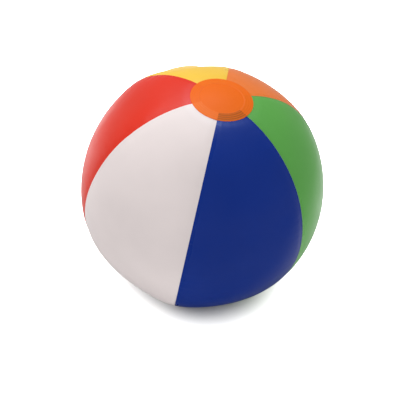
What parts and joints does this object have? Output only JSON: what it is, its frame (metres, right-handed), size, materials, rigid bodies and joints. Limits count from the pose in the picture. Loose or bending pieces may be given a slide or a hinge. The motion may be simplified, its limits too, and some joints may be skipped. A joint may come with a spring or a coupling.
{
  "type": "inflatable beach ball",
  "caption": "Inflated ball of coloured film gores welded at meridian seams, with round end caps and a push-in valve with a strapped plug and a non-return flap.",
  "frame": {"origin": "centre of the ball", "axes": "+Z through the centre of the top cap, along the axis where all the seams meet; the valve is in the gore centred on +Y"},
  "size_m": [0.28, 0.28, 0.2798],
  "materials": {
    "film_white": "satin",
    "film_blue": "gloss",
    "film_green": "gloss",
    "film_orange": "gloss",
    "film_yellow": "gloss",
    "film_red": "gloss",
    "film_cap": "gloss",
    "valve_pvc": "satin",
    "plug_pvc": "satin",
    "flap_film": "satin"
  },
  "bodies": {
    "ball": {"gore_white": "film_white", "gore_blue": "film_blue", "gore_green": "film_green", "gore_orange": "film_orange", "gore_yellow": "film_yellow", "gore_red": "film_red", "top_cap": "film_cap", "bottom_cap": "film_cap", "valve_flange": "valve_pvc", "valve_boot": "valve_pvc"},
    "stem": {"valve_stem": "valve_pvc", "plug_strap": "plug_pvc"},
    "plug": {"valve_plug": "plug_pvc"},
    "flap": {"check_flap": "flap_film"}
  },
  "joints": [
    {"name": "stem_slide", "type": "slide", "parent": "ball", "child": "stem", "axis": [0, 0.8192, 0.5736], "range_m": [0, 0.014]},
    {"name": "plug_hinge", "type": "hinge", "parent": "stem", "child": "plug", "pos_m": [0.009, 0.11294, 0.07908], "axis": [0, 0.5736, -0.8192], "range_deg": [0, 110]},
    {"name": "flap_hinge", "type": "hinge", "parent": "stem", "child": "flap", "pos_m": [-0.00525, 0.09506, 0.06656], "axis": [0, 0.5736, -0.8192], "range_deg": [0, 60], "stiffness_Nm_per_rad": 0.00002}
  ]
}
